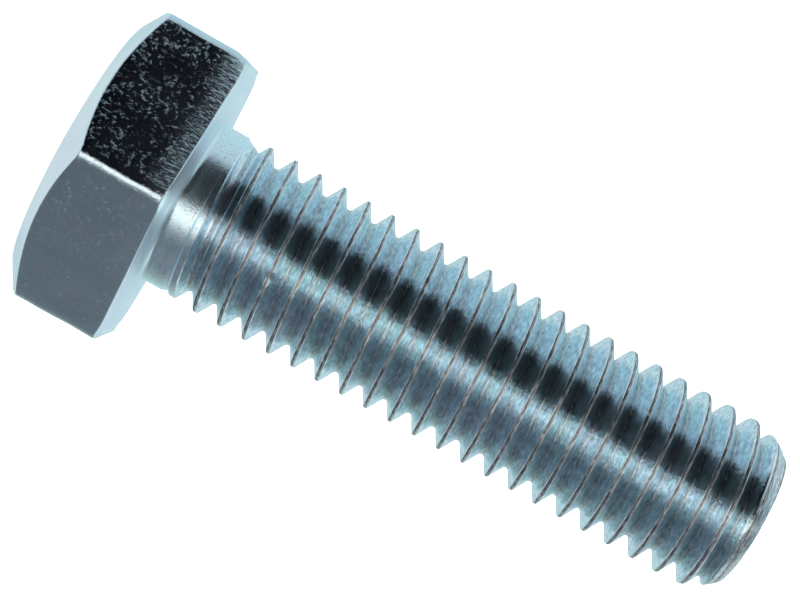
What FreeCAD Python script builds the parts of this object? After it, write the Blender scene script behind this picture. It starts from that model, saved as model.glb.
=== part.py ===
import FreeCAD, Part
import math
import os

# A hex head bolt, forged and thread-rolled from one piece of steel, in millimetres and degrees.
# The origin is the centre of the bearing face, the ring under the head that presses on the work.
# +Z runs down the shank to the tip, the head lies below the origin, and one corner points along +X.

# Length under the head, and the coarse right-hand thread
SHANK_LENGTH = 35.15
THREAD_PITCH = 1.5
THREAD_HALF_ANGLE = 30.0
CREST_RADIUS = 4.93
ROOT_RADIUS = 4.0
ROOT_ROUNDING = 0.19
CREST_HEIGHT_AT_X = 0.1

# Plain neck, where the rolling dies stop short of the head
NECK_RADIUS = 4.75
NECK_LENGTH = 1.25
NECK_FILLET = 0.4
FULL_CREST_HEIGHT = 3.6
RUN_OUT_TAPER = 26.0
RUN_OUT_CLEARANCE = 0.02

# Rounded tip
TIP_FACE_RADIUS = 3.85
TIP_MIDDLE_RADIUS = 4.62
TIP_MIDDLE_LENGTH = 1.0
TIP_LENGTH = 2.3

# Head
ACROSS_FLATS = 16.8
HEAD_HEIGHT = 6.3
CORNER_ROUNDING = 0.85
TOP_CIRCLE_RADIUS = 7.3
TOP_CHAMFER_ANGLE = 31.0
UNDERSIDE_CHAMFER_RADIUS = 9.2
UNDERSIDE_CHAMFER_ANGLE = 15.0
WASHER_FACE_RADIUS = 8.05
WASHER_FACE_HEIGHT = 0.15
WASHER_FACE_EDGE = 0.06

# Room that the cutting and joining solids overlap by.
# The groove opens only a little past the crests, so that its own turns stay apart.
MARGIN = 1.0
GROOVE_MARGIN = 0.1
# Each turn of the groove ends this close to where the next one starts
SEAM_TOLERANCE = 0.0001
SIDES = 6

UP = FreeCAD.Vector(0, 0, 1)
CENTRE = FreeCAD.Vector(0, 0, 0)


def point(radius, height):
    """A point of an outline drawn in the plane y = 0."""
    return FreeCAD.Vector(radius, 0, height)


def straight_runs(points):
    """The straight edges that join a list of points in order."""
    return [Part.makeLine(a, b) for a, b in zip(points, points[1:])]


def turned(edges):
    """The solid that a closed outline sweeps when it turns once about the axis."""
    wire = Part.Wire(Part.__sortEdges__(edges))
    return Part.Face(wire).revolve(CENTRE, UP, 360)


def slope(angle):
    return math.tan(math.radians(angle))


def neck_fillet():
    """Concave arc from the bearing face up to the neck."""
    middle = NECK_FILLET * math.cos(math.radians(45))
    centre_radius = NECK_RADIUS + NECK_FILLET
    start = point(centre_radius, 0)
    bend = point(centre_radius - middle, NECK_FILLET - middle)
    end = point(NECK_RADIUS, NECK_FILLET)
    return Part.Arc(start, bend, end).toShape()


def tip_rounding():
    """Convex arc from the last full crest to the flat end of the bolt."""
    start = point(CREST_RADIUS, SHANK_LENGTH - TIP_LENGTH)
    bend = point(TIP_MIDDLE_RADIUS, SHANK_LENGTH - TIP_MIDDLE_LENGTH)
    end = point(TIP_FACE_RADIUS, SHANK_LENGTH)
    return Part.Arc(start, bend, end).toShape()


def plain_shank():
    """Washer face, fillet, neck, and the shank as the crests leave it, before the groove is cut."""
    foot = -WASHER_FACE_HEIGHT - MARGIN
    washer_face = straight_runs([
        point(0, foot),
        point(WASHER_FACE_RADIUS, foot),
        point(WASHER_FACE_RADIUS, -WASHER_FACE_EDGE),
        point(WASHER_FACE_RADIUS - WASHER_FACE_EDGE, 0),
        point(NECK_RADIUS + NECK_FILLET, 0),
    ])
    barrel = straight_runs([
        point(NECK_RADIUS, NECK_FILLET),
        point(NECK_RADIUS, NECK_LENGTH),
        point(CREST_RADIUS, FULL_CREST_HEIGHT),
        point(CREST_RADIUS, SHANK_LENGTH - TIP_LENGTH),
    ])
    closing = straight_runs([
        point(TIP_FACE_RADIUS, SHANK_LENGTH),
        point(0, SHANK_LENGTH),
        point(0, foot),
    ])
    return turned(washer_face + [neck_fillet()] + barrel + [tip_rounding()] + closing)


def groove_outline(height):
    """The V between two crests, rounded at its root and open past the crests."""
    outer = CREST_RADIUS + GROOVE_MARGIN
    apex = ROOT_RADIUS - ROOT_ROUNDING
    mouth = (outer - apex) * slope(THREAD_HALF_ANGLE)
    # the flanks touch the root's arc at the half angle past its middle
    touch_height = ROOT_ROUNDING * math.cos(math.radians(THREAD_HALF_ANGLE))
    touch_radius = ROOT_RADIUS + ROOT_ROUNDING * (1 - math.sin(math.radians(THREAD_HALF_ANGLE)))
    low = point(touch_radius, height - touch_height)
    high = point(touch_radius, height + touch_height)
    root = Part.Arc(low, point(ROOT_RADIUS, height), high).toShape()
    sides = straight_runs([high, point(outer, height + mouth), point(outer, height - mouth), low])
    return Part.Wire(Part.__sortEdges__([root] + sides))


def thread_groove():
    """The helical groove, one turn after another, from below the bearing face to past the tip."""
    start = CREST_HEIGHT_AT_X - THREAD_PITCH / 2
    helix = Part.makeHelix(THREAD_PITCH, THREAD_PITCH, CREST_RADIUS)
    one_turn = Part.Wire(helix.Edges).makePipeShell([groove_outline(0)], True, True)
    turns = math.ceil((SHANK_LENGTH - start) / THREAD_PITCH) + 1
    return [one_turn.translated(UP * (start + turn * THREAD_PITCH)) for turn in range(turns)]


def run_out_core():
    """The cone that the root climbs as the groove fades out towards the neck."""
    rise = slope(RUN_OUT_TAPER)
    foot = -THREAD_PITCH
    widest = NECK_RADIUS + RUN_OUT_CLEARANCE + (NECK_LENGTH - foot) * rise
    narrowest = ROOT_RADIUS - ROOT_ROUNDING
    height = (widest - narrowest) / rise
    return Part.makeCone(widest, narrowest, height, point(0, foot))


def threaded_shank():
    core = run_out_core()
    groove = [turn.cut(core) for turn in thread_groove()]
    return plain_shank().cut(groove, SEAM_TOLERANCE)


def hexagon():
    """The six-sided bar, with its long edges rounded and its ends left long for trimming."""
    corner_radius = ACROSS_FLATS / 2 / math.cos(math.pi / SIDES)
    corners = []
    for side in range(SIDES + 1):
        angle = 2 * math.pi * side / SIDES
        x = corner_radius * math.cos(angle)
        y = corner_radius * math.sin(angle)
        corners.append(FreeCAD.Vector(x, y, -HEAD_HEIGHT - MARGIN))
    bar = Part.Face(Part.makePolygon(corners)).extrude(UP * (HEAD_HEIGHT + 2 * MARGIN))
    long_edges = [e for e in bar.Edges if abs(e.tangentAt(e.FirstParameter).z) > 0.5]
    return bar.makeFillet(CORNER_ROUNDING, long_edges)


def head_envelope():
    """The turned shape that chamfers the head's top and, lightly, the underside of its corners."""
    outer = ACROSS_FLATS / 2 / math.cos(math.pi / SIDES) + MARGIN
    top = -HEAD_HEIGHT
    underside = -WASHER_FACE_HEIGHT
    top_drop = (outer - TOP_CIRCLE_RADIUS) * slope(TOP_CHAMFER_ANGLE)
    under_drop = (outer - UNDERSIDE_CHAMFER_RADIUS) * slope(UNDERSIDE_CHAMFER_ANGLE)
    return turned(straight_runs([
        point(0, top),
        point(TOP_CIRCLE_RADIUS, top),
        point(outer, top + top_drop),
        point(outer, underside - under_drop),
        point(UNDERSIDE_CHAMFER_RADIUS, underside),
        point(0, underside),
        point(0, top),
    ]))


def hex_bolt():
    head = hexagon().common(head_envelope())
    return head.fuse(threaded_shank())


def main():
    bolt = hex_bolt()
    solid = bolt.Solids[0]
    print("hex_bolt: solids", len(bolt.Solids), "valid", solid.isValid(), "volume", round(solid.Volume, 1))
    os.makedirs("parts", exist_ok=True)
    solid.exportStep("parts/hex_bolt.step")


main()
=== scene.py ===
import math

import bmesh
import bpy
from mathutils import Matrix, Vector, noise


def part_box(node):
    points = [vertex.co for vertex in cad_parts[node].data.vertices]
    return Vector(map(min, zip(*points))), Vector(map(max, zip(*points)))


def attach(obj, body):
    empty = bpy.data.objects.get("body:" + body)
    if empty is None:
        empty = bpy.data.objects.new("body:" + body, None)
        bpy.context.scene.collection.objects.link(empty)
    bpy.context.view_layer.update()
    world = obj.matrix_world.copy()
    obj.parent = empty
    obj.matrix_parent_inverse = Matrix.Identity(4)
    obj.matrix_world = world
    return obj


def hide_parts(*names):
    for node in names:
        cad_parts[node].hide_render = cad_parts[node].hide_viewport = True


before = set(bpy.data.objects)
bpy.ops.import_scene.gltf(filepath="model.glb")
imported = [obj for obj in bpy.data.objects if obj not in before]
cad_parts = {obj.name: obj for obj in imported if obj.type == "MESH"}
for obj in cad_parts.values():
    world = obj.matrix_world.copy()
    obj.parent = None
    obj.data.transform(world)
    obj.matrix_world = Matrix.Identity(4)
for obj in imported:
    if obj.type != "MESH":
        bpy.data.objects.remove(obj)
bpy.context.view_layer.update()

# A zinc plated hex bolt, standing on its head on a white table.
# The frame is the CAD's: metres, +Z down the shank to the tip, a corner of the head along +X.
# The outline's dimensions are in millimetres, and the finished mesh is scaled to metres once.

BOLT = "hex_bolt"
MM = 0.001


# Sizes that the frame gives
LOWEST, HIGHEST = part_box(BOLT)
SHANK_LENGTH = HIGHEST.z / MM
HEAD_HEIGHT = -LOWEST.z / MM
ACROSS_FLATS = (HIGHEST.y - LOWEST.y) / MM

# Thread
THREAD_PITCH = 1.5
THREAD_HALF_ANGLE = 30.0
CREST_RADIUS = 4.93
ROOT_RADIUS = 4.0
ROOT_ROUNDING = 0.19
CREST_HEIGHT_AT_X = 0.1
CREST_ROUNDING = 0.05
# Rolling folds the two sides of the crest together, which leaves a fine uneven seam along it
SEAM_OFFSET = -0.03
SEAM_HALF_WIDTH = 0.035
SEAM_DEPTH = 0.04
SEAM_LEAST = 0.45
SEAM_VARIATION = 1.3
SEAM_FINENESS = 1.9
SEAM_SHIFT = Vector((9, 4, 2))
# Wear that varies along the crest: how fine the variation is, and how deep
BROAD_WEAR = (0.7, 0.012)
FINE_WEAR = (3.0, 0.010)
# Wear starts this far above the root
WEAR_START = 0.35
# A knock is this much narrower along the axis than across it
DENT_SQUASH = 0.5
# Knocks on the crests: height, angle in degrees, depth (below 0 for a burr), half width
DENTS = (
    (8.8, -82, -0.06, 0.30), (13.8, -33, 0.16, 0.20), (26.3, -8, 0.14, 0.18), (6.3, 14, 0.15, 0.20),
    (14.1, 16, 0.12, 0.16), (15.5, 16, 0.14, 0.16), (27.9, 10, 0.16, 0.20), (19.6, 97, 0.14, 0.2),
    (9.7, 171, 0.15, 0.22), (23.2, 205, 0.12, 0.16), (30.1, 150, 0.14, 0.2), (17.0, 250, 0.15, 0.2),
)

# Neck, run-out and tip
NECK_RADIUS = 4.75
NECK_LENGTH = 1.25
NECK_FILLET = 0.4
FULL_CREST_HEIGHT = 3.6
RUN_OUT_TAPER = 26.0
RUN_OUT_CLEARANCE = 0.02
TIP_FACE_RADIUS = 3.85
TIP_LENGTH = 2.3
# The tip falls in partly along a straight line and partly along a power curve
TIP_STRAIGHT_SHARE = 0.12
TIP_CURVE = 2.1
# The dished end face, from its edge inwards: radius and depth
END_FACE_RINGS = ((3.65, 0.0), (3.2, 0.02), (2.5, 0.1), (1.7, 0.16), (0.8, 0.18))

# Head
SIDES = 6
CORNER_ROUNDING = 0.85
TOP_CIRCLE_RADIUS = 7.3
TOP_CHAMFER_ANGLE = 31.0
UNDERSIDE_CHAMFER_RADIUS = 9.2
UNDERSIDE_CHAMFER_ANGLE = 15.0
WASHER_FACE_RADIUS = 8.05
WASHER_FACE_HEIGHT = 0.15
TOP_CENTRE_RADIUS = 1.2
TOP_EDGE_ROUNDING = 0.35
CHAMFER_EDGE_ROUNDING = 0.2
UNDERSIDE_EDGE_ROUNDING = 0.12
# The edge of the washer face is pressed so flat that it fades into the underside
WASHER_FACE_TOP_RADIUS = 6.95
WASHER_FACE_BLEND = 3.0
# Between these two radii of the bearing face, the head's mesh is joined to the shank's
BEARING_SEAM_RADIUS = 6.6
BEARING_SEAM_WIDTH = 0.4
# The flat that faces -Y is rounded over along its edge at the bearing face
WORN_EDGE_DEPTH = 0.24
WORN_EDGE_HEIGHT = 1.2
WORN_EDGE_BLEND = 0.2
# Waviness of the forged sides: how fine it is, and how deep. It fades in at their edges
BROAD_WAVE = (0.45, 0.035)
FINE_WAVE = (1.7, 0.014)
WAVE_BLEND = 1.0
WAVE_HEIGHTS = (0.1, 0.4)
# Blender draws vector noise anew at each start, unless it is given a seed
WAVE_SEED = 1794965522

# How finely the mesh follows the shape
TURN_COLUMNS = 144
FLAT_COLUMNS = 20
CORNER_COLUMNS = 12
EDGE_STEPS = 4
TOP_ROWS = 6
CHAMFER_ROWS = 5
SIDE_ROWS = 14
UNDERSIDE_ROWS = (3, 2)
# Rows of one pitch, as distances from the crest: close together on the crest and at the root
ROW_OFFSETS = (
    -0.75, -0.70, -0.65, -0.58, -0.48, -0.38, -0.28, -0.19, -0.14, -0.10, -0.065, -0.03,
    0.005, 0.05, 0.10, 0.14, 0.19, 0.28, 0.38, 0.48, 0.58, 0.65, 0.70,
)
MERGE_DISTANCE = 0.002

# Table, in metres
TABLE_HALF_WIDTH = 3
TABLE_COLOUR = (0.9, 0.9, 0.9, 1)
TABLE_ROUGHNESS = 0.9
TABLE_GLOW = 0.9

# Camera: its place in millimetres, and its range in metres
CAMERA_PLACE = (125.436, -4.965, 10.222)
CAMERA_FORWARD = (-0.99932, 0.03076, 0.02028)
CAMERA_UP = (-0.03676, -0.87035, -0.49106)
CAMERA_LENS = 104.5
CAMERA_RANGE = (0.005, 10)


def slope(angle):
    return math.tan(math.radians(angle))


def smooth(value, low, high):
    """0 below low, 1 above high, and an even S between them."""
    share = min(max((value - low) / (high - low), 0.0), 1.0)
    return share * share * (3 - 2 * share)


# ---------------------------------------------------------------- shank

def envelope(height):
    """Radius of the shank before its thread, at a height above the fillet."""
    if height <= NECK_LENGTH:
        return NECK_RADIUS
    if height <= FULL_CREST_HEIGHT:
        share = (height - NECK_LENGTH) / (FULL_CREST_HEIGHT - NECK_LENGTH)
        return NECK_RADIUS + (CREST_RADIUS - NECK_RADIUS) * share
    start = SHANK_LENGTH - TIP_LENGTH
    if height <= start:
        return CREST_RADIUS
    along = (height - start) / TIP_LENGTH
    drop = CREST_RADIUS - TIP_FACE_RADIUS
    straight = TIP_STRAIGHT_SHARE * along
    curved = (1 - TIP_STRAIGHT_SHARE) * along ** TIP_CURVE
    return CREST_RADIUS - drop * (straight + curved)


def groove(offset):
    """Radius of the thread at a distance along the axis from the middle of its crest."""
    from_root = THREAD_PITCH / 2 - abs(offset)
    touch = ROOT_ROUNDING * math.cos(math.radians(THREAD_HALF_ANGLE))
    centre = ROOT_RADIUS + ROOT_ROUNDING
    if from_root < touch:
        return centre - math.sqrt(ROOT_ROUNDING ** 2 - from_root ** 2)
    flank = centre - ROOT_ROUNDING * math.sin(math.radians(THREAD_HALF_ANGLE))
    return flank + (from_root - touch) / slope(THREAD_HALF_ANGLE)


def soft_min(a, b, width):
    """The smaller of two numbers, with a rounded change-over."""
    share = max(width - abs(a - b), 0.0) / width
    return min(a, b) - share * share * width / 4


def crest_offset(angle, height):
    """Distance along the axis from the middle of the nearest crest."""
    turns = (height - CREST_HEIGHT_AT_X) / THREAD_PITCH - angle / (2 * math.pi)
    return (turns - round(turns)) * THREAD_PITCH


def waviness(place, wave):
    """A smooth number that varies with the place, by how fine it is and how deep."""
    fineness, depth = wave
    return depth * noise.noise(place * fineness)


def crest_wear(angle, height, offset):
    """How far rolling and handling have lowered the thread's crest at a point."""
    along = Vector((math.cos(angle), math.sin(angle), 0)) * CREST_RADIUS
    along.z = height - offset
    wear = waviness(along, BROAD_WEAR) + waviness(along, FINE_WEAR)
    seam = max(1 - abs(offset - SEAM_OFFSET) / SEAM_HALF_WIDTH, 0)
    openness = SEAM_LEAST + SEAM_VARIATION * noise.noise(along * SEAM_FINENESS + SEAM_SHIFT)
    wear += seam * SEAM_DEPTH * max(openness, 0)
    for dent_height, degrees, depth, size in DENTS:
        sideways = (angle - math.radians(degrees) + math.pi) % (2 * math.pi) - math.pi
        away = math.hypot(sideways * CREST_RADIUS, (height - dent_height) * DENT_SQUASH)
        wear += depth * math.exp(-(away / size) ** 2)
    return wear


def shank_radius(angle, height):
    offset = crest_offset(angle, height)
    core = NECK_RADIUS + RUN_OUT_CLEARANCE - (height - NECK_LENGTH) * slope(RUN_OUT_TAPER)
    body = envelope(height)
    cut = max(groove(offset), core)
    radius = soft_min(body, cut, CREST_ROUNDING)
    nearness = smooth(radius, ROOT_RADIUS + WEAR_START, CREST_RADIUS)
    nearness *= smooth(height, NECK_LENGTH, FULL_CREST_HEIGHT)
    return radius - nearness * crest_wear(angle, height, offset)


def shank_point(angle, along):
    """Where a point of the unrolled sheet lands. Below the top of the fillet, along runs round it."""
    if along >= NECK_FILLET:
        radius = shank_radius(angle, along)
        height = along
    else:
        turn = min((NECK_FILLET - along) / NECK_FILLET, math.pi / 2)
        radius = NECK_RADIUS + NECK_FILLET * (1 - math.cos(turn))
        height = NECK_FILLET * (1 - math.sin(turn))
    return Vector((radius * math.cos(angle), radius * math.sin(angle), height))


def shank_mesh():
    """One unrolled sheet whose rows follow the helix, trimmed at both ends and rolled up."""
    bm = bmesh.new()
    start = NECK_FILLET * (1 - math.pi / 2)
    end = SHANK_LENGTH
    first = math.floor((start - CREST_HEIGHT_AT_X) / THREAD_PITCH) - 1
    last = math.ceil((end - CREST_HEIGHT_AT_X) / THREAD_PITCH) + 1
    heights = []
    for turn in range(first, last + 1):
        crest = CREST_HEIGHT_AT_X + turn * THREAD_PITCH
        heights += [crest + offset for offset in ROW_OFFSETS]
    grid = []
    for height in heights:
        row = []
        for column in range(TURN_COLUMNS + 1):
            angle = 2 * math.pi * column / TURN_COLUMNS
            row.append(bm.verts.new((angle, height + THREAD_PITCH * column / TURN_COLUMNS, 0)))
        grid.append(row)
    for lower, upper in zip(grid, grid[1:]):
        for column in range(TURN_COLUMNS):
            bm.faces.new((lower[column], lower[column + 1], upper[column + 1], upper[column]))
    for place, inner in ((start, False), (end, True)):
        everything = bm.verts[:] + bm.edges[:] + bm.faces[:]
        bmesh.ops.bisect_plane(bm, geom=everything, dist=1e-6, plane_co=(0, place, 0),
                               plane_no=(0, 1, 0), clear_outer=inner, clear_inner=not inner)
    for vertex in bm.verts:
        vertex.co = shank_point(vertex.co.x, vertex.co.y)
    bmesh.ops.remove_doubles(bm, verts=bm.verts[:], dist=MERGE_DISTANCE)
    return bm


# ---------------------------------------------------------------- head

def head_outline():
    """Points round the hexagon, with its corners rounded."""
    apothem = ACROSS_FLATS / 2
    centre = (apothem - CORNER_ROUNDING) / math.cos(math.pi / SIDES)
    half_turn = math.pi / SIDES
    half_flat = centre * math.sin(half_turn)
    points = []
    for side in range(SIDES):
        corner = 2 * half_turn * side
        middle = Vector((math.cos(corner), math.sin(corner))) * centre
        for step in range(CORNER_COLUMNS):
            turn = corner - half_turn + 2 * half_turn * step / CORNER_COLUMNS
            points.append(middle + CORNER_ROUNDING * Vector((math.cos(turn), math.sin(turn))))
        facing = corner + half_turn
        out = Vector((math.cos(facing), math.sin(facing))) * apothem
        sideways = Vector((-math.sin(facing), math.cos(facing)))
        for step in range(FLAT_COLUMNS):
            across = half_flat * (2 * step / FLAT_COLUMNS - 1)
            points.append(out + sideways * across)
    return points


def rounded_path(corners, steps):
    """A path of (radius, height) corners, each rounded by its own radius with a number of steps."""
    path = []
    for index, (place, rounding) in enumerate(corners):
        here = Vector(place)
        if not rounding:
            path.append(here)
            continue
        before = (Vector(corners[index - 1][0]) - here).normalized()
        after = (Vector(corners[index + 1][0]) - here).normalized()
        half = before.angle(after) / 2
        reach = rounding / math.tan(half)
        centre = here + (before + after).normalized() * (rounding / math.sin(half))
        start = here + before * reach - centre
        end = here + after * reach - centre
        sweep = start.angle(end)
        for step in range(steps + 1):
            share = step / steps
            a = math.sin(sweep * (1 - share)) / math.sin(sweep)
            b = math.sin(sweep * share) / math.sin(sweep)
            path.append(centre + start * a + end * b)
    return path


def divided(path, rows):
    """The same path with each of its runs divided into a number of rows."""
    result = [path[0]]
    for index, count in enumerate(rows):
        a, b = path[index], path[index + 1]
        result += [a.lerp(b, step / count) for step in range(1, count + 1)]
    return result


def head_profile(reach):
    """(radius, height) down one column of the head, from near its top centre to the washer face."""
    top = -HEAD_HEIGHT
    chamfer_end = top + (reach - TOP_CIRCLE_RADIUS) * slope(TOP_CHAMFER_ANGLE)
    overhang = max(reach - UNDERSIDE_CHAMFER_RADIUS, 0)
    under = -WASHER_FACE_HEIGHT - overhang * slope(UNDERSIDE_CHAMFER_ANGLE)
    corners = [
        ((TOP_CENTRE_RADIUS, top), 0),
        ((TOP_CIRCLE_RADIUS, top), TOP_EDGE_ROUNDING),
        ((reach, chamfer_end), CHAMFER_EDGE_ROUNDING),
        ((reach, under), UNDERSIDE_EDGE_ROUNDING),
        ((WASHER_FACE_RADIUS, -WASHER_FACE_HEIGHT), 0),
        ((WASHER_FACE_TOP_RADIUS, 0), WASHER_FACE_BLEND),
        ((BEARING_SEAM_RADIUS, 0), 0),
    ]
    path = rounded_path(corners, EDGE_STEPS)
    edge = [1] * EDGE_STEPS
    runs = [TOP_ROWS, *edge, CHAMFER_ROWS, *edge, SIDE_ROWS, *edge, *UNDERSIDE_ROWS, *edge, 1]
    return divided(path, runs)


def forged(place):
    """A point of the head, moved by the slight waviness and wear of its sides."""
    reach = math.hypot(place.x, place.y)
    side = smooth(reach, TOP_CIRCLE_RADIUS - WAVE_BLEND, TOP_CIRCLE_RADIUS)
    side *= smooth(-place.z, *WAVE_HEIGHTS)
    moved = Vector((0, 0, 0))
    for fineness, depth in (BROAD_WAVE, FINE_WAVE):
        moved += noise.noise_vector(place * fineness) * depth * side
    moved.z = 0
    edge = smooth(place.z, -WORN_EDGE_HEIGHT, 0)
    edge *= smooth(-place.y, WASHER_FACE_TOP_RADIUS, ACROSS_FLATS / 2 - WORN_EDGE_BLEND)
    moved.y += WORN_EDGE_DEPTH * edge
    return place + moved


def head_mesh():
    noise.seed_set(WAVE_SEED)
    bm = bmesh.new()
    columns = []
    for place in head_outline():
        across = place.normalized()
        column = []
        for radius, height in head_profile(place.length):
            place = Vector((across.x * radius, across.y * radius, height))
            column.append(bm.verts.new(forged(place)))
        columns.append(column)
    for index, column in enumerate(columns):
        after = columns[(index + 1) % len(columns)]
        for row in range(len(column) - 1):
            bm.faces.new((column[row], column[row + 1], after[row + 1], after[row]))
    centre = bm.verts.new((0, 0, -HEAD_HEIGHT))
    for index, column in enumerate(columns):
        bm.faces.new((column[0], columns[(index + 1) % len(columns)][0], centre))
    return bm


# ---------------------------------------------------------------- whole bolt

def open_ring(bm, height):
    """The vertices of the open edge that lies at one height, in order of their angle."""
    ring = set()
    for edge in bm.edges:
        if edge.is_boundary and all(abs(v.co.z - height) < 1e-4 for v in edge.verts):
            ring.update(edge.verts)
    return sorted(ring, key=lambda v: math.atan2(v.co.y, v.co.x))


def grown_ring(bm, ring, radius, height):
    """A new ring of the same vertices at another radius and height, joined to the old one."""
    grown = []
    for vertex in ring:
        flat = Vector((vertex.co.x, vertex.co.y)).normalized() * radius
        grown.append(bm.verts.new((flat.x, flat.y, height)))
    for index in range(len(ring)):
        after = (index + 1) % len(ring)
        bm.faces.new((ring[index], ring[after], grown[after], grown[index]))
    return grown


def zip_rings(bm, inner, outer):
    """Triangles between two rings about the axis that have different numbers of vertices."""
    def angle(ring, index):
        vertex = ring[index % len(ring)]
        return math.atan2(vertex.co.y, vertex.co.x) + 2 * math.pi * (index // len(ring))
    a = 0
    b = 0
    while a < len(inner) or b < len(outer):
        here, there = inner[a % len(inner)], outer[b % len(outer)]
        if b >= len(outer) or (a < len(inner) and angle(inner, a + 1) < angle(outer, b + 1)):
            a += 1
            bm.faces.new((here, there, inner[a % len(inner)]))
        else:
            b += 1
            bm.faces.new((here, there, outer[b % len(outer)]))


def close_tip(bm):
    """The end face, dished a little as thread rolling leaves it."""
    ring = open_ring(bm, SHANK_LENGTH)
    for radius, depth in END_FACE_RINGS:
        ring = grown_ring(bm, ring, radius, SHANK_LENGTH - depth)
    bm.faces.new(ring)


def bolt_mesh():
    bm = shank_mesh()
    close_tip(bm)
    inner = grown_ring(bm, open_ring(bm, 0), BEARING_SEAM_RADIUS - BEARING_SEAM_WIDTH, 0)
    head = head_mesh()
    part = bpy.data.meshes.new("head_part")
    head.to_mesh(part)
    head.free()
    known = set(bm.verts)
    bm.from_mesh(part)
    bpy.data.meshes.remove(part)
    outer = [v for v in open_ring(bm, 0) if v not in known]
    zip_rings(bm, inner, outer)
    bmesh.ops.recalc_face_normals(bm, faces=bm.faces[:])
    for face in bm.faces:
        face.smooth = True
    return bm


def bolt_object():
    bm = bolt_mesh()
    bmesh.ops.scale(bm, vec=(MM, MM, MM), verts=bm.verts[:])
    mesh = bpy.data.meshes.new("bolt")
    bm.to_mesh(mesh)
    bm.free()
    bolt = bpy.data.objects.new("bolt", mesh)
    bpy.context.scene.collection.objects.link(bolt)
    return bolt


# ---------------------------------------------------------------- materials

def node(tree, kind, **settings):
    made = tree.nodes.new(kind)
    for name, value in settings.items():
        setattr(made, name, value)
    return made


def calculate(tree, operation, *inputs):
    """The output of a Math node. An input is a number or another node's output."""
    made = node(tree, "ShaderNodeMath", operation=operation)
    for socket, value in zip(made.inputs, inputs):
        if isinstance(value, (int, float)):
            socket.default_value = value
        else:
            tree.links.new(value, socket)
    return made.outputs[0]


def ramp(tree, factor, stops, interpolation="LINEAR"):
    made = node(tree, "ShaderNodeValToRGB")
    made.color_ramp.interpolation = interpolation
    elements = made.color_ramp.elements
    while len(elements) < len(stops):
        elements.new(0.5)
    for element, (place, colour) in zip(elements, stops):
        element.position = place
        element.color = (*colour, 1)
    tree.links.new(factor, made.inputs[0])
    return made.outputs[0]


def eased(tree, value, low, high, start=0.0, end=1.0):
    """Turns a value's climb from low to high into a smooth climb from start to end."""
    made = node(tree, "ShaderNodeMapRange", interpolation_type="SMOOTHSTEP")
    for name, number in (("From Min", low), ("From Max", high), ("To Min", start), ("To Max", end)):
        made.inputs[name].default_value = number
    tree.links.new(value, made.inputs["Value"])
    return made.outputs[0]


def combine(tree, *parts):
    made = node(tree, "ShaderNodeCombineXYZ")
    for socket, part in zip(made.inputs, parts):
        if isinstance(part, (int, float)):
            socket.default_value = part
        else:
            tree.links.new(part, socket)
    return made.outputs[0]


def texture(tree, vector, scale, detail=2.0, roughness=0.5, shift=0.0):
    """Noise about 0, from -0.5 to 0.5, of a vector in millimetres."""
    made = node(tree, "ShaderNodeTexNoise")
    made.inputs["Scale"].default_value = scale
    made.inputs["Detail"].default_value = detail
    made.inputs["Roughness"].default_value = roughness
    moved = node(tree, "ShaderNodeVectorMath", operation="ADD")
    tree.links.new(vector, moved.inputs[0])
    moved.inputs[1].default_value = (shift, shift, shift)
    tree.links.new(moved.outputs[0], made.inputs["Vector"])
    return calculate(tree, "SUBTRACT", made.outputs[0], 0.5)


def blended(tree, factor, first, second):
    """Colour that goes from first to second with a factor. Each is a colour or a node's output."""
    made = node(tree, "ShaderNodeMix", data_type="RGBA")
    tree.links.new(factor, made.inputs["Factor"])
    for name, colour in (("A", first), ("B", second)):
        socket = next(i for i in made.inputs if i.name == name and i.type == "RGBA")
        if isinstance(colour, tuple):
            socket.default_value = (*colour, 1)
        else:
            tree.links.new(colour, socket)
    return next(o for o in made.outputs if o.type == "RGBA")


def bolt_places(tree):
    """Coordinates on the bolt in millimetres: along the helix, across the thread, and so on."""
    scaled = node(tree, "ShaderNodeVectorMath", operation="SCALE")
    tree.links.new(node(tree, "ShaderNodeTexCoord").outputs["Object"], scaled.inputs[0])
    scaled.inputs["Scale"].default_value = 1 / MM
    parts = node(tree, "ShaderNodeSeparateXYZ")
    tree.links.new(scaled.outputs[0], parts.inputs[0])
    x, y, z = parts.outputs
    angle = calculate(tree, "ARCTAN2", y, x)
    from_crest = calculate(tree, "MULTIPLY_ADD", z, 1 / THREAD_PITCH, -CREST_HEIGHT_AT_X / THREAD_PITCH)
    turns = calculate(tree, "SUBTRACT", from_crest, calculate(tree, "MULTIPLY", angle, 0.5 / math.pi))
    turn = calculate(tree, "ROUND", turns)
    across = calculate(tree, "MULTIPLY", calculate(tree, "SUBTRACT", turns, turn), THREAD_PITCH)
    wound = calculate(tree, "MULTIPLY_ADD", turn, 2 * math.pi, angle)
    along = calculate(tree, "MULTIPLY", wound, CREST_RADIUS)
    return {"place": scaled.outputs[0], "x": x, "y": y, "z": z, "along": along, "across": across}


# Where one finish gives way to the next, as two heights along the bolt
THREAD_START = (1.2, 2.4)
CREST_START = (1.6, 3.0)
NECK_START = (0.1, 0.4)
SIDE_END = (-0.3, -0.15)
TORN_START = (-1.9, -0.5)
BEARING_START = (-0.2, -0.12)
BEARING_END = (0.02, 0.12)
RIM_START = (SHANK_LENGTH - 1.0, SHANK_LENGTH - 0.3)
# The same, as two distances from the middle of the crest, from the fold beside it, and from the axis
CREST_EDGE = (0.06, 0.11)
# Painted shade darkens the thread roots beyond these distances from the middle of the crest
ROOT_EDGE = (0.56, 0.68)
FOLD_OFFSET = 0.045
FOLD_EDGE = (0.01, 0.04)
END_FACE_EDGE = (TIP_FACE_RADIUS - 0.25, TIP_FACE_RADIUS)
# Trimming tore the flats on the -Y side more than those on the +Y side
TORN_SIDES = (-1.0, 1.0)
LEAST_TORN = 0.45

# Lengths along the helix, and up the sides of the head, count for this much, which draws marks out
HELIX_STRETCH = 0.22
TEAR_STRETCH = 0.5
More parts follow.
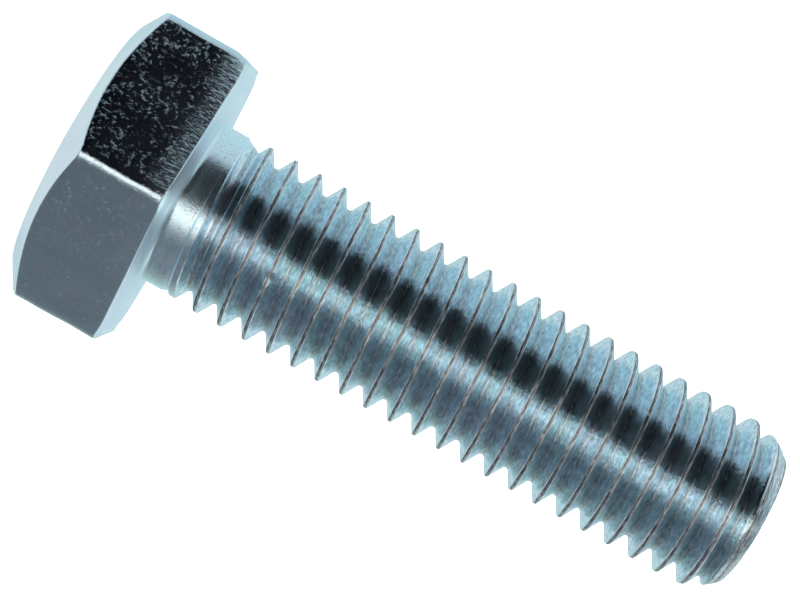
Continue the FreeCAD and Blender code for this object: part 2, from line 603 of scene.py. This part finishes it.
# Each texture's coordinates, fineness, detail, roughness and shift
TEXTURES = {
    "streak": ("helical", 11.0, 3.0, 0.6, 0.0),
    "fine_streak": ("helical", 8.0, 2.0, 0.6, 13.0),
    "fold": ("helical", 9.0, 2.0, 0.6, 17.0),
    "broad_streak": ("helical", 2.6, 1.0, 0.5, 7.0),
    "beads": ("helical", 7.0, 2.0, 0.5, 31.0),
    "peel": ("place", 4.0, 4.0, 0.7, 0.0),
    "cluster": ("place", 1.1, 1.0, 0.5, 5.0),
    "grain": ("place", 14.0, 2.0, 0.5, 3.0),
    "tear": ("drawn", 4.6, 3.0, 0.65, 11.0),
    "patch": ("place", 0.35, 2.0, 0.5, 21.0),
    "speck": ("place", 9.0, 1.0, 0.5, 41.0),
}
# A texture's marks fade in between these two of its values
FLECK_EDGE = (0.02, 0.26)
CLUSTER_EDGE = (-0.15, 0.15)
LEAST_CLUSTER = 0.35
PIT_EDGE = (0.02, 0.2)
SPECK_EDGE = (0.13, 0.19)
BEAD_EDGE = (-0.1, 0.15)
FOLD_OPENING = (-0.12, 0.06)

# Heights of the marks, in millimetres
PEEL_HEIGHT = 0.004
FLECK_HEIGHT = 0.009
GRAIN_HEIGHT = 0.003
NECK_GRAIN_HEIGHT = 0.005
TEAR_HEIGHT = 0.042
STREAK_HEIGHT = 0.022
PIT_HEIGHT = 0.030

# Colours of the plating from blue to grey-blue, and of its rubbed crests
PLATING = (
    (0.22, (0.60, 0.80, 0.85)), (0.42, (0.62, 0.79, 0.86)), (0.60, (0.63, 0.78, 0.88)),
    (0.78, (0.66, 0.77, 0.86)),
)
STREAK_TINT = 0.6
RUBBED_DARK = (0.25, 0.265, 0.28)
RUBBED_PALE = (0.64, 0.66, 0.68)
RUBBED_SHARE = 0.95
# Near-black painted shade in the crease of the fold along the crest
FOLD_SHADE_COLOUR = (0.07, 0.065, 0.065)
# How much each mask lightens the plating, or darkens it: random streaks; painted light on the plain
# neck, which brightens its reflections; dark specks on the neck; painted shade in the thread roots;
# darker towards the end
SHADES = (("streaked", 1.4), ("neck", 0.15), ("specked", -0.4), ("root", -0.35), ("rim", -0.30))

# Roughness of the plating, and what each finish adds to it
PLATING_ROUGHNESS = 0.18
ROUGHER = (("neck", 0.04), ("side", -0.07), ("bearing", 0.25), ("crest", 0.20), ("torn", 0.10),
           ("patch", 0.08), ("streak", 0.10))


def product(tree, *values):
    result = values[0]
    for value in values[1:]:
        result = calculate(tree, "MULTIPLY", result, value)
    return result


def weighted(tree, start, values, weights):
    """A number plus several values by their names, each times its weight."""
    result = start
    for name, weight in weights:
        result = calculate(tree, "MULTIPLY_ADD", values[name], weight, result)
    return result


def finish_and_shade_masks(tree, at):
    """Where each finish and each mask of painted light or shade is: 1 inside, 0 outside, and a smooth
    change between.
    """
    z = at["z"]
    squares = calculate(tree, "MULTIPLY_ADD", at["x"], at["x"], product(tree, at["y"], at["y"]))
    beside_end = eased(tree, calculate(tree, "SQRT", squares), *END_FACE_EDGE)
    threaded = product(tree, eased(tree, z, *THREAD_START), beside_end)
    from_crest = calculate(tree, "ABSOLUTE", at["across"])
    crest_start = product(tree, beside_end, eased(tree, z, *CREST_START))
    crest = product(tree, eased(tree, from_crest, *CREST_EDGE, 1.0, 0.0), crest_start)
    from_fold = calculate(tree, "ABSOLUTE", calculate(tree, "ADD", at["across"], FOLD_OFFSET))
    side = eased(tree, z, *SIDE_END, 1.0, 0.0)
    torn_side = eased(tree, at["y"], *TORN_SIDES, 1.0, LEAST_TORN)
    return {
        "threaded": threaded,
        "crest": crest,
        # root: where painted shade darkens the thread's roots
        "root": product(tree, eased(tree, from_crest, *ROOT_EDGE), threaded),
        "fold": product(tree, eased(tree, from_fold, *FOLD_EDGE, 1.0, 0.0), crest),
        "side": side,
        "torn": product(tree, side, eased(tree, z, *TORN_START), torn_side),
        "bearing": product(tree, eased(tree, z, *BEARING_START), eased(tree, z, *BEARING_END, 1.0, 0.0)),
        "neck": product(tree, eased(tree, z, *NECK_START), eased(tree, z, *THREAD_START, 1.0, 0.0)),
        "rim": eased(tree, z, *RIM_START),
    }


def marks(tree, at):
    """The textures of the surface, by name."""
    coordinates = {
        "place": at["place"],
        "helical": combine(tree, product(tree, at["along"], HELIX_STRETCH), at["across"], 0.0),
        "drawn": combine(tree, at["x"], at["y"], product(tree, at["z"], TEAR_STRETCH)),
    }
    made = {}
    for name, (kind, scale, detail, roughness, shift) in TEXTURES.items():
        made[name] = texture(tree, coordinates[kind], scale, detail, roughness, shift)
    return made


def relief(tree, finish_and_shade, mark):
    """The normal that the marks' heights give."""
    cluster = eased(tree, mark["cluster"], *CLUSTER_EDGE, LEAST_CLUSTER, 1.0)
    fleck = product(tree, eased(tree, mark["peel"], *FLECK_EDGE), cluster)
    pit = eased(tree, mark["beads"], *PIT_EDGE, 0.0, -1.0)
    grain_height = calculate(tree, "MULTIPLY_ADD", finish_and_shade["neck"], NECK_GRAIN_HEIGHT, GRAIN_HEIGHT)
    parts = (
        product(tree, mark["peel"], PEEL_HEIGHT),
        product(tree, fleck, product(tree, finish_and_shade["side"], FLECK_HEIGHT)),
        product(tree, mark["grain"], grain_height),
        product(tree, mark["tear"], product(tree, finish_and_shade["torn"], TEAR_HEIGHT)),
        product(tree, mark["streak"], product(tree, finish_and_shade["threaded"], STREAK_HEIGHT)),
        product(tree, pit, product(tree, finish_and_shade["crest"], PIT_HEIGHT)),
    )
    height = parts[0]
    for part in parts[1:]:
        height = calculate(tree, "ADD", height, part)
    bump = node(tree, "ShaderNodeBump")
    bump.inputs["Strength"].default_value = 1.0
    bump.inputs["Distance"].default_value = MM
    tree.links.new(height, bump.inputs["Height"])
    return bump.outputs[0]


def plating_colour(tree, finish_and_shade, mark):
    """Blue plating with random streaks and dark specks, painted light on the neck, painted shade in the
    thread roots and darker towards the end, with rubbed crests and the painted shade of the fold's
    crease on them.
    """
    streaks = product(tree, mark["broad_streak"], finish_and_shade["threaded"])
    tint = calculate(tree, "MULTIPLY_ADD", streaks, STREAK_TINT, mark["patch"])
    plating = ramp(tree, calculate(tree, "ADD", tint, 0.5), PLATING)
    shading = dict(finish_and_shade)
    shading["streaked"] = product(tree, mark["fine_streak"], finish_and_shade["threaded"])
    shading["specked"] = product(tree, eased(tree, mark["speck"], *SPECK_EDGE), finish_and_shade["neck"])
    # Painted light on the neck and painted shade in the thread roots scale the plating here, with random
    # streaks, dark specks and a darker end
    shaded = node(tree, "ShaderNodeVectorMath", operation="SCALE")
    tree.links.new(plating, shaded.inputs[0])
    tree.links.new(weighted(tree, 1.0, shading, SHADES), shaded.inputs["Scale"])
    rubbed = blended(tree, eased(tree, mark["beads"], *BEAD_EDGE), RUBBED_DARK, RUBBED_PALE)
    rubbing = product(tree, finish_and_shade["crest"], RUBBED_SHARE)
    colour = blended(tree, rubbing, shaded.outputs[0], rubbed)
    # Painted shade: the fold's crease along the crest drawn near-black where the fold opens
    painted_fold_shade = product(tree, finish_and_shade["fold"], eased(tree, mark["fold"], *FOLD_OPENING))
    return blended(tree, painted_fold_shade, colour, FOLD_SHADE_COLOUR)


def zinc():
    """Bright zinc with a blue passivation: crests rubbed to grey, sides of the head peeled."""
    material = bpy.data.materials.new("zinc_plated_steel")
    material.use_nodes = True
    tree = material.node_tree
    surface = tree.nodes["Principled BSDF"]
    surface.inputs["Metallic"].default_value = 1.0
    at = bolt_places(tree)
    finish_and_shade = finish_and_shade_masks(tree, at)
    mark = marks(tree, at)
    roughness = weighted(tree, PLATING_ROUGHNESS, {**mark, **finish_and_shade}, ROUGHER)
    tree.links.new(relief(tree, finish_and_shade, mark), surface.inputs["Normal"])
    tree.links.new(plating_colour(tree, finish_and_shade, mark), surface.inputs["Base Color"])
    tree.links.new(roughness, surface.inputs["Roughness"])
    return material


# ---------------------------------------------------------------- studio

OVERHEAD = (0.98, 1.0, 1.0)
PALE = (0.68, 0.86, 0.90)
DIM_PALE = (0.66, 0.72, 0.77)
DARK = (0.003, 0.003, 0.006)
BRIGHT = (1.6, 1.5, 1.42)
GREY = (0.36, 0.37, 0.39)
SLATE = (0.155, 0.166, 0.186)
LIGHT_SLATE = (0.21, 0.225, 0.25)
GREEN_GREY = (0.42, 0.47, 0.43)

SURROUNDINGS_STRENGTH = 0.885
ROOM_LIGHT = 2.0
# Reflections this steep, and pointing this far to the -X side, see the overhead light
STEEP = (0.35, 0.75)
BEHIND = (-0.4, -0.1)

# What stands round the bolt, by direction about the axis: degrees from +X towards +Y
STUDIO = (
    (-180, PALE), (-140, PALE), (-75, DIM_PALE), (-70, DARK), (-5, DARK), (6, BRIGHT), (20, BRIGHT),
    (34, GREY), (54, SLATE), (62, SLATE), (74, LIGHT_SLATE), (104, LIGHT_SLATE), (128, GREEN_GREY),
    (158, PALE), (180, PALE),
)


def studio():
    """Plain white light, and the bands of light and dark that the metal mirrors."""
    world = bpy.data.worlds.new("studio")
    bpy.context.scene.world = world
    world.use_nodes = True
    tree = world.node_tree
    tree.nodes.clear()
    direction = node(tree, "ShaderNodeTexCoord").outputs["Generated"]
    parts = node(tree, "ShaderNodeSeparateXYZ")
    tree.links.new(direction, parts.inputs[0])
    azimuth = calculate(tree, "ARCTAN2", parts.outputs["Y"], parts.outputs["X"])
    turn = calculate(tree, "MULTIPLY_ADD", azimuth, 1 / (2 * math.pi), 0.5)
    stops = [(degrees / 360 + 0.5, colour) for degrees, colour in STUDIO]
    around = node(tree, "ShaderNodeBackground")
    around.inputs["Strength"].default_value = SURROUNDINGS_STRENGTH
    steepness = eased(tree, calculate(tree, "ABSOLUTE", parts.outputs["Z"]), *STEEP)
    behind = eased(tree, parts.outputs["X"], *BEHIND, 1.0, 0.0)
    overhead = calculate(tree, "MULTIPLY", steepness, behind)
    tree.links.new(blended(tree, overhead, ramp(tree, turn, stops), OVERHEAD), around.inputs["Color"])
    plain = node(tree, "ShaderNodeBackground")
    plain.inputs["Color"].default_value = (1, 1, 1, 1)
    plain.inputs["Strength"].default_value = ROOM_LIGHT
    path = node(tree, "ShaderNodeLightPath")
    mix = node(tree, "ShaderNodeMixShader")
    tree.links.new(path.outputs["Is Glossy Ray"], mix.inputs[0])
    tree.links.new(plain.outputs[0], mix.inputs[1])
    tree.links.new(around.outputs[0], mix.inputs[2])
    out = node(tree, "ShaderNodeOutputWorld")
    tree.links.new(mix.outputs[0], out.inputs["Surface"])


def table():
    """A pale table top that doesn't darken under the bolt."""
    bm = bmesh.new()
    bmesh.ops.create_grid(bm, x_segments=1, y_segments=1, size=TABLE_HALF_WIDTH)
    mesh = bpy.data.meshes.new("table")
    bm.to_mesh(mesh)
    bm.free()
    top = bpy.data.objects.new("table", mesh)
    top.location.z = LOWEST.z
    material = bpy.data.materials.new("table")
    material.use_nodes = True
    surface = material.node_tree.nodes["Principled BSDF"]
    surface.inputs["Base Color"].default_value = TABLE_COLOUR
    surface.inputs["Roughness"].default_value = TABLE_ROUGHNESS
    surface.inputs["Emission Color"].default_value = (1, 1, 1, 1)
    surface.inputs["Emission Strength"].default_value = TABLE_GLOW
    mesh.materials.append(material)
    bpy.context.scene.collection.objects.link(top)
    top.visible_glossy = False


def camera():
    data = bpy.data.cameras.new("camera")
    data.lens = CAMERA_LENS
    data.clip_start, data.clip_end = CAMERA_RANGE
    made = bpy.data.objects.new("camera", data)
    forward = Vector(CAMERA_FORWARD).normalized()
    right = forward.cross(Vector(CAMERA_UP)).normalized()
    up = right.cross(forward)
    turned = Matrix((right, up, -forward)).transposed().to_4x4()
    made.matrix_world = Matrix.Translation(Vector(CAMERA_PLACE) * MM) @ turned
    bpy.context.scene.collection.objects.link(made)
    bpy.context.scene.camera = made


def main():
    bpy.context.scene.view_settings.view_transform = "Standard"
    camera()
    studio()
    table()
    bolt = bolt_object()
    bolt.data.materials.append(zinc())
    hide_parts(BOLT)
    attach(bolt, "root")


main()
